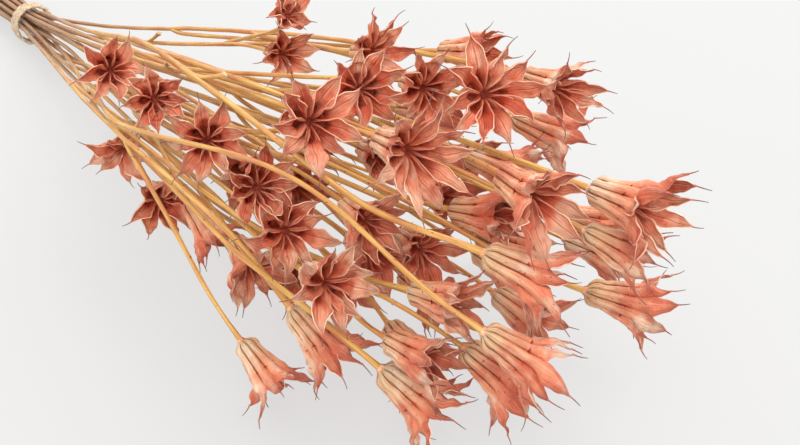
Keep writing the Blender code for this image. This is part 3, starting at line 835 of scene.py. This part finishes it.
def shape_follicle(follicle, pod, number, draw):
    # The sheet is folded into a ribbed wall below the split and into a boat-shaped petal above it.
    length, flare, count = pod[5:8]
    flat = get_points(follicle)
    side = np.abs(flat[:, 0]) * 2
    hand = np.sign(flat[:, 0])
    share = flat[:, 1] + 0.5
    half = math.pi / count
    curl = draw.uniform(*CURL)
    sway = draw.uniform(*SWAY) * half * 2
    twist = draw.uniform(*TWIST)
    dish = draw.uniform(*DISH)
    roll = draw.uniform(*ROLL)
    phases = draw.uniform(0.0, 2 * math.pi, 4)
    reach = draw.uniform(*REACH)
    rib = Midrib(length * reach * GROWTH, flare, curl)
    radius, height, lean = rib.at(share)
    crease = 1.0 - CREASE_LOW * np.clip(share / SHOULDER, 0, 1)
    crease = crease - CREASE_MORE * smooth(SHOULDER, SPLIT, share)
    hole = HOLE_LOW + HOLE_MORE * smooth(0.1, SPLIT, share)
    out, inward = fused_section(side, radius, half, crease, hole)
    bump = BUMP_DEPTH * length * np.exp(-(((share - BUMP_AT) / BUMP_WIDTH) ** 2))
    inward = inward - bump * np.clip(1.0 - side, 0, 1)
    # Petal: as wide as its neighbours let it be, and then narrowing to the style.
    taper = np.clip((share - TAPER_FROM) / (1.0 - TAPER_FROM), 0.0, 1.0)
    width = np.minimum(radius * math.tan(half) * 1.08, WIDEST_HALF * length)
    width = TIP_HALF + (width - TIP_HALF) * (1.0 - taper**1.35) ** 1.12
    edge = np.zeros_like(share)
    for k, (depth, waves) in enumerate(EDGE_WAVES):
        phase = np.where(hand > 0, phases[2 * k], phases[2 * k + 1])
        edge = edge + depth * np.sin(2 * math.pi * waves * share + phase)
    width = width * (1.0 + edge * (share < 0.97))
    petal_out = width * np.sin(side * math.pi / 2) ** 0.9
    petal_in = dish * width * side**1.4 + roll * width * side**4
    opened = smooth(SPLIT - 0.03, SPLIT + 0.2, share)
    out = (out * (1.0 - opened) + petal_out * opened) * hand
    inward = inward * (1.0 - opened) + petal_in * opened
    dents = crumple(out, share * length, DENTS, draw)
    inward = inward + dents * (0.25 + 0.75 * opened) * np.clip(share / 0.2, 0.0, 1.0) * (1.0 - taper**4)
    turn = twist * opened * past_split(share)
    across = out * np.cos(turn) - inward * np.sin(turn)
    inward = out * np.sin(turn) + inward * np.cos(turn)
    r = radius - np.cos(lean) * inward
    z = height + np.sin(lean) * inward
    middle = 2 * half * number + sway * past_split(share) ** 1.5
    points = np.stack(
        [
            r * np.cos(middle) - across * np.sin(middle),
            r * np.sin(middle) + across * np.cos(middle),
            z,
        ],
        axis=1,
    )
    end_angle = middle.max() if sway > 0 else middle.min()
    return points, (rib.radius[-1], rib.height[-1], rib.lean[-1], end_angle)


def shape_style(blank_points, tip, length, draw):
    # The dried style goes on from the petal's tip in a slight bend of its own.
    radius, height, lean, angle = tip
    out = np.array([math.cos(angle), math.sin(angle), 0.0])
    way = out * math.sin(lean) + np.array([0.0, 0.0, math.cos(lean)])
    aside = np.array([-math.sin(angle), math.cos(angle), 0.0])
    bend = draw.uniform(-0.5, 0.9) * (out * math.cos(lean) - np.array([0.0, 0.0, math.sin(lean)]))
    bend = bend + draw.uniform(-0.7, 0.7) * aside
    reach = STYLE * length * draw.uniform(0.7, 1.35)
    u = blank_points[:, 2]
    start = out * radius + np.array([0.0, 0.0, height])
    middle = start + (u[:, None] - 0.08) * way * reach + (u**2)[:, None] * bend * reach * 0.45
    size = STYLE_THICK + (STYLE_THIN - STYLE_THICK) * u**0.6
    normal = np.cross(way, aside)
    spread = blank_points[:, 0:1] * aside + blank_points[:, 1:2] * normal
    return middle + spread * size[:, None]


def shape_throat(blank_points, pod, draw):
    # The shrunken tissue that closes the follicles a little below the split, as a dented disc.
    length, flare, count = pod[5:8]
    radius, height, _ = Midrib(length * GROWTH, flare, 0.0).at(THROAT)
    disc = blank_points * np.array([1.0, 1.0, 0.0]) * radius * math.cos(math.pi / count) * THROAT_FILL
    away = np.linalg.norm(disc, axis=1)
    angle = np.arctan2(disc[:, 1], disc[:, 0])
    ripple = np.sin(count * angle + draw.uniform(0, 6)) * away / radius
    disc[:, 2] = height - THROAT_DIP * (radius - away) + THROAT_RIPPLE * ripple
    return disc


def make_pod(name, pod, base, blanks, materials, draw):
    length, count, paleness = pod[5], pod[7], pod[8]
    turn = pod_turn(pod_axis(pod))
    sheets = []
    tips = []
    for number in range(count):
        sheet = copy_of(blanks["follicle"], "follicle")
        points, tip = shape_follicle(sheet, pod, number, draw)
        set_points(sheet, points @ turn.T + base)
        add_attribute(sheet, "paleness", np.full(len(points), paleness + draw.uniform(-0.15, 0.15)))
        sheets.append(sheet)
        tips.append(tip)
    piece = join(sheets, name)
    for material in materials:
        piece.data.materials.append(material)
    apply_modifier(
        piece, "SOLIDIFY", thickness=WALL * MM, offset=-1.0, material_offset=1, material_offset_rim=2
    )
    extras = []
    for tip in tips:
        style = copy_of(blanks["style"], "style")
        points = shape_style(get_points(style) / MM, tip, length, draw)
        set_points(style, points @ turn.T + base)
        style.data.materials.append(materials[3])
        extras.append(style)
    throat = copy_of(blanks["throat"], "throat")
    points = shape_throat(get_points(throat), pod, draw)
    set_points(throat, points @ turn.T + base)
    throat.data.materials.append(materials[4])
    extras.append(throat)
    knob = copy_of(blanks["knob"], "knob")
    points = get_points(knob) * KNOB * length
    set_points(knob, points @ turn.T + base)
    knob.data.materials.append(materials[0])
    add_attribute(knob, "paleness", np.full(len(points), paleness))
    piece = join([piece] + extras + [knob], name)
    points = get_points(piece) / MM
    points[:, 2] = np.maximum(points[:, 2], FLOOR_GAP)
    set_points(piece, points)
    smooth_edges(piece, 50)
    return piece


# Stems


def stem_mesh(node):
    # A stem solid's corners in millimetres, welded, and its triangles.
    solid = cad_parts[node]
    mesh = solid.data
    points, index = np.unique(np.round(get_points(solid) / MM, 3), axis=0, return_inverse=True)
    mesh.calc_loop_triangles()
    corners = np.zeros(len(mesh.loop_triangles) * 3, np.int32)
    mesh.loop_triangles.foreach_get("vertices", corners)
    return points, index.reshape(-1)[corners].reshape(-1, 3)


def find_root(parents, key):
    while parents[key] != key:
        key = parents[key]
    return key


def slice_centres(points, triangles, x):
    # The middle of each closed outline where a plane square to X cuts the solid.
    beyond = points[:, 0] > x
    count = beyond[triangles].sum(axis=1)
    parents = {}
    pieces = []
    for triangle in triangles[(count == 1) | (count == 2)]:
        crossed = []
        for one, two in ((0, 1), (1, 2), (2, 0)):
            a, b = sorted((int(triangle[one]), int(triangle[two])))
            if beyond[a] != beyond[b]:
                u = (x - points[a, 0]) / (points[b, 0] - points[a, 0])
                crossed.append(((a, b), points[a] + (points[b] - points[a]) * u))
        for key, _ in crossed:
            parents.setdefault(key, key)
        parents[find_root(parents, crossed[0][0])] = find_root(parents, crossed[1][0])
        pieces.append((crossed[0][0], crossed[0][1], crossed[1][1]))
    sums = {}
    for key, one, two in pieces:
        size = float(np.linalg.norm(one - two))
        total = sums.setdefault(find_root(parents, key), [0.0, np.zeros(3)])
        total[0] += size
        total[1] = total[1] + (one + two) / 2 * size
    return [total / size for size, total in sums.values() if size > 1.0]


def stem_marks(points, triangles):
    # Centres along a stem, each with the one it follows on from.
    marks = []
    back = []
    last = []
    x = points[:, 0].min() + 1.0
    while x < points[:, 0].max():
        now = []
        for centre in slice_centres(points, triangles, x):
            best = -1
            nearest = 1e9
            for k in last:
                before = marks[back[k]] if back[k] >= 0 else marks[k]
                ahead = marks[k] + (marks[k] - before) * (0.8 if back[k] >= 0 else 0.0)
                gap = float(np.linalg.norm(centre - ahead))
                if gap < nearest:
                    nearest = gap
                    best = k
            marks.append(centre)
            back.append(best)
            now.append(len(marks) - 1)
        last = now
        x += SLICE_STEP
    return np.array(marks), back


def trace_back(back, end):
    path = [end]
    while back[path[-1]] >= 0:
        path.append(back[path[-1]])
    return path[::-1]


def soften(line, passes):
    for _ in range(passes):
        line[1:-1] = (line[:-2] + 2 * line[1:-1] + line[2:]) / 4
    return line


def resample(line, step):
    along = np.concatenate([[0.0], np.cumsum(np.linalg.norm(np.diff(line, axis=0), axis=1))])
    count = max(4, int(round(along[-1] / step)) + 1)
    wanted = np.linspace(0.0, along[-1], count)
    return np.stack([np.interp(wanted, along, line[:, k]) for k in range(3)], axis=1)


def leave_out_pods(points, triangles, pods, bases):
    # A spray's triangles without those that lie inside the outline of one of its pods.
    middle = points[triangles].mean(axis=1)
    keep = np.ones(len(triangles), bool)
    for pod, base in zip(pods, bases):
        axis = pod_axis(pod)
        rib = Midrib(pod[5], pod[6], 0.0)
        height = (middle - base) @ axis
        away = np.linalg.norm(middle - base - height[:, None] * axis, axis=1)
        style = STYLE * pod[5] * 1.1
        heights = np.append(rib.height, rib.height[-1] + style * math.cos(rib.lean[-1]))
        outline = np.append(rib.radius, rib.radius[-1] + style * math.sin(rib.lean[-1]))
        inside = np.interp(height, heights, outline, left=-9.0, right=-9.0) + 1.0
        keep &= (height < -0.2) | (away > inside)
    return triangles[keep]


def strand_lines(points, triangles, ends):
    # For each pod of a stem, the smooth line of its stalk from the cut end, or from its fork.
    marks, back = stem_marks(points, triangles)
    used = set(back)
    tips = [k for k in range(len(marks)) if k not in used]
    lines = []
    taken = set()
    for order, end in enumerate(ends):
        best = min(tips, key=lambda k: float(np.linalg.norm(marks[k] - end)))
        path = trace_back(back, best)
        if order == 0:
            taken = set(path)
        else:
            shared = [k for k in path if k in taken]
            path = path[len(shared) - 1 :]
        line = marks[path]
        keep = np.linalg.norm(line - end, axis=1) > 5.0
        keep[0] = True
        line = np.vstack([line[keep], end])
        line = resample(line, SLICE_STEP)
        lines.append(resample(soften(line, 6), LINE_STEP))
    return lines


def strand_radii(line, is_main):
    share = np.linspace(0.0, 1.0, len(line))
    if is_main:
        radii = STEM_RADIUS + (BRANCH_RADIUS - STEM_RADIUS) * np.minimum(1.0, 2.5 * share)
    else:
        radii = BRANCH_RADIUS + (TWIG_RADIUS - BRANCH_RADIUS) * share
    # The stalk swells a little under its pod.
    left = (1.0 - share) * np.linalg.norm(np.diff(line, axis=0), axis=1).sum()
    return radii + 0.28 * np.exp(-((left / 4.0) ** 2))


def torn_twig(line, share, turn, reach, draw):
    # A side twig that was snapped off, with a ragged end.
    at = int(share * (len(line) - 1))
    way = line[at + 1] - line[at]
    way = way / np.linalg.norm(way)
    aside = np.cross(way, (0.0, 0.0, 1.0))
    aside = aside / np.linalg.norm(aside)
    out = aside * math.cos(turn) + np.cross(aside, way) * math.sin(turn)
    u = np.linspace(0.0, 1.0, 7)[:, None]
    twig = line[at] + way * reach * u + out * (0.24 * reach * u + 0.1 * reach * u**2)
    radii = np.linspace(TWIG_RADIUS, TWIG_RADIUS * 1.15, 7)
    tube = roll_grid("twig", twig, radii, STEM_SIDES)
    points = get_points(tube) / MM
    beyond = (points - twig[-1]) @ way > -0.4
    points[beyond] += way * draw.uniform(-1.8, 2.2, (int(beyond.sum()), 1))
    set_points(tube, points)
    return tube


def make_stem(name, points, triangles, ends, materials, draw):
    tubes = []
    lines = strand_lines(points, triangles, ends)
    for share, turn, reach in TORN_TWIGS.get(name, []):
        tubes.append(torn_twig(lines[0], share, turn, reach, np.random.default_rng(int(reach * 10))))
    for order, line in enumerate(lines):
        radii = strand_radii(line, order == 0)
        wobble = 1.0 + 0.05 * np.sin(np.arange(len(line)) * 0.9 + draw.uniform(0.0, 6.0))
        tube = roll_grid(
            "stalk",
            line,
            radii * wobble,
            STEM_SIDES,
            draw.uniform(0.0, 6.0),
            lobes=6,
            lobe_depth=0.05,
            lobe_twist=draw.uniform(-0.03, 0.03),
        )
        tubes.append(tube)
    piece = join(tubes, name)
    piece.data.materials.clear()
    for material in materials:
        piece.data.materials.append(material)
    # The cut end shows its pith.
    for face in piece.data.polygons:
        face.material_index = 1 if len(face.vertices) > 4 else 0
    smooth_edges(piece, 60)
    return piece


# Tie


def make_tie(materials):
    # Twine wound round the stems in four turns, with its two plies twisted together.
    count = TIE_TURNS * TURN_STEPS
    turn = np.linspace(0.0, 2 * math.pi * TIE_TURNS, count + 1)
    x = TIE_PITCH * (turn / (2 * math.pi) - TIE_TURNS / 2)
    radius = TIE_INNER + TWINE_RADIUS
    y = radius * np.cos(turn - math.pi / 2)
    z = TIE_AXIS_Z + radius * np.sin(turn - math.pi / 2)
    z = np.maximum(z, TWINE_RADIUS * (1.0 + PLY_DEPTH) + 0.02)
    line = np.stack([x, y, z], axis=1)
    coil = roll_grid("coil", line, np.full(len(line), TWINE_RADIUS), 14, 0.0, 2, PLY_DEPTH, PLY_TWIST)
    draw = np.random.default_rng(7)
    hairs = []
    for _ in range(TIE_HAIRS):
        start = line[draw.integers(TURN_STEPS // 2, len(line) - TURN_STEPS // 2)]
        out = np.array([0.0, start[1], start[2] - TIE_AXIS_Z]) / radius
        if start[2] < HAIRS_ABOVE:
            continue
        lean = np.array([draw.uniform(-0.7, 0.7), -out[2], out[1]]) * draw.choice([-1.0, 1.0])
        reach = draw.uniform(0.8, 2.4)
        u = np.linspace(0.0, 1.0, 5)[:, None]
        hair = start + out * (TWINE_RADIUS * 0.7 + reach * 0.5 * u) + lean * reach * u**1.5
        hairs.append(roll_grid("hair", hair, np.linspace(0.07, 0.03, 5), 3))
    piece = join([coil] + hairs, "tie_twine")
    piece.data.materials.append(materials[0])
    smooth_edges(piece, 60)
    return piece


# Camera, floor and light


def make_camera():
    camera = bpy.data.objects.new("camera", bpy.data.cameras.new("camera"))
    bpy.context.scene.collection.objects.link(camera)
    camera.data.lens = CAMERA_LENS
    camera.data.sensor_width = 36.0
    camera.data.clip_start = 0.01
    turn = Matrix([CAMERA_RIGHT, CAMERA_UP, [-part for part in CAMERA_FORWARD]]).transposed()
    camera.matrix_world = Matrix.Translation(CAMERA_PLACE) @ turn.to_4x4()
    bpy.context.scene.camera = camera


def make_floor():
    deselect()
    bpy.ops.mesh.primitive_plane_add(size=FLOOR_SIZE, location=(0.0, 0.0, 0.0))
    floor = bpy.context.object
    floor.name = "floor"
    floor.data.materials.append(floor_paint())


def make_light():
    world = bpy.data.worlds.new("studio")
    world.use_nodes = True
    sky = world.node_tree.nodes["Background"]
    sky.inputs["Color"].default_value = SKY_COLOUR
    sky.inputs["Strength"].default_value = SKY_STRENGTH
    bpy.context.scene.world = world
    for name, place, size, energy in LAMPS:
        deselect()
        bpy.ops.object.light_add(type="AREA", location=place)
        lamp = bpy.context.object
        lamp.name = name
        lamp.data.size = size
        lamp.data.energy = energy
        lamp.data.color = LAMP_COLOUR
        aim = Vector(LAMP_AIM) - lamp.location
        lamp.rotation_euler = aim.to_track_quat("-Z", "Y").to_euler()


def finish_piece(piece, node):
    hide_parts(node)
    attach(piece, "root")


def build():
    make_camera()
    make_floor()
    make_light()
    bpy.context.scene.view_settings.view_transform = "Standard"
    blanks = {
        "follicle": follicle_blank(ACROSS, ALONG),
        "inner follicle": follicle_blank(INNER_ACROSS, INNER_ALONG),
        "style": style_blank(),
        "knob": round_blank("knob_blank", 12),
        "throat": round_blank("throat_blank", 18),
    }
    husk = [husk_outside(), husk_inside(), husk_rim(), style_skin(), throat_skin()]
    stalk = [stem_skin(), pith()]
    number = 0
    for index, group in enumerate(STEMS):
        draw = np.random.default_rng(100 + index)
        spray = index >= FIRST_SPRAY
        node = ("spray_%02d" if spray else "stem_%02d") % (index + 1)
        points, triangles = stem_mesh(node)
        if spray:
            bases = spray_bases(points, triangles, group)
            triangles = leave_out_pods(points, triangles, group, bases)
            names = [node] * len(group)
            made = blanks | {"follicle": blanks["inner follicle"]}
        else:
            names = ["pod_%02d" % (number + k) for k in range(1, len(group) + 1)]
            bases = [pod_base(name, pod) for name, pod in zip(names, group)]
            number += len(group)
            made = blanks
        for order, (name, pod, base) in enumerate(zip(names, group, bases), start=1):
            title = "%s_husk_%d" % (name, order) if spray else name + "_husk"
            piece = make_pod(title, pod, base, made, husk, draw)
            finish_piece(piece, name)
        ends = [base - pod_axis(pod) * STALK_GAP for base, pod in zip(bases, group)]
        piece = make_stem(node + "_stalk", points, triangles, ends, stalk, draw)
        finish_piece(piece, node)
    piece = make_tie([twine_fibre()])
    finish_piece(piece, "tie")
    for blank in blanks.values():
        bpy.data.objects.remove(blank, do_unlink=True)


build()
